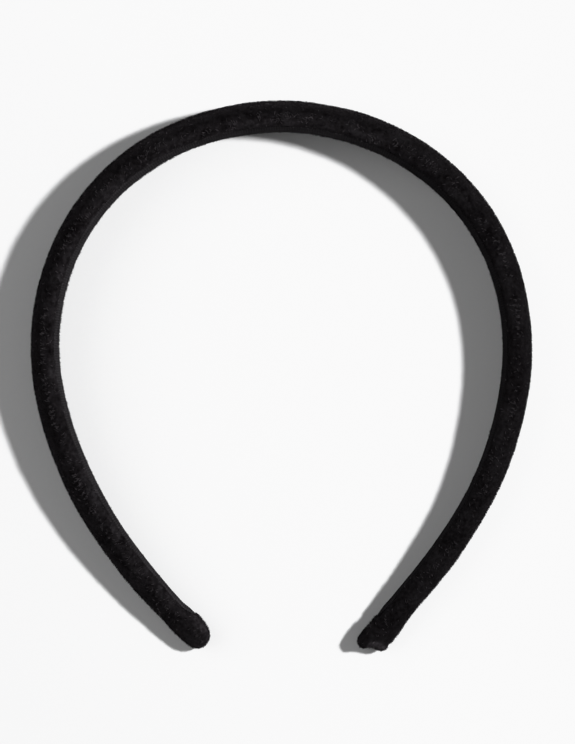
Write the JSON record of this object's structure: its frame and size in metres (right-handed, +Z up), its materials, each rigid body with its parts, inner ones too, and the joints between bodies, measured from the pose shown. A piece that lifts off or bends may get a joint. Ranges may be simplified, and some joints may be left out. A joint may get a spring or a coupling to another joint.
{
  "type": "padded headband",
  "caption": "Padded velvet-covered hair band: springy tapered open loop that grips the head, with foam under the cover, a lining strip inside and rounded folded ends.",
  "frame": {"origin": "middle of the bounding box's base, on the table under the open loop", "axes": "+Y towards the crown of the band, -Y towards the open tips, +X across the band, +Z up out of the table along the band's width"},
  "size_m": [0.1362, 0.1503, 0.025],
  "materials": {
    "velvet_cover": "black velvet, short dense pile, matt with a soft sheen at grazing angles",
    "velvet_fold": "black velvet, doubled over the end of the core",
    "lining_strip": "black smooth-faced fabric strip",
    "core_plastic": "moulded springy plastic, satin",
    "foam": "open-cell foam, off-white",
    "foam_tape": "double-sided tape, translucent off-white",
    "set_adhesive": "set hot-melt adhesive, pale amber"
  },
  "bodies": {
    "crown": {"crown_lining": "lining_strip", "crown_lining_glue": "set_adhesive", "crown_core": "core_plastic", "crown_foam_tape": "foam_tape", "crown_foam": "foam", "crown_cover": "velvet_cover"},
    "left_arm": {"left_lining": "lining_strip", "left_lining_glue": "set_adhesive", "left_core": "core_plastic", "left_foam_tape": "foam_tape", "left_foam": "foam", "left_cover": "velvet_cover", "left_end_fold": "velvet_fold"},
    "right_arm": {"right_lining": "lining_strip", "right_lining_glue": "set_adhesive", "right_core": "core_plastic", "right_foam_tape": "foam_tape", "right_foam": "foam", "right_cover": "velvet_cover", "right_end_fold": "velvet_fold"}
  },
  "joints": [
    {"name": "right_flex", "type": "hinge", "parent": "crown", "child": "right_arm", "pos_m": [0.05499, 0.0399, 0.0125], "axis": [0, 0, 1], "range_deg": [-9, 25], "stiffness_Nm_per_rad": 0.25},
    {"name": "left_flex", "type": "hinge", "parent": "crown", "child": "left_arm", "pos_m": [-0.05499, 0.0399, 0.0125], "axis": [0, 0, -1], "range_deg": [-9, 25], "stiffness_Nm_per_rad": 0.25}
  ]
}
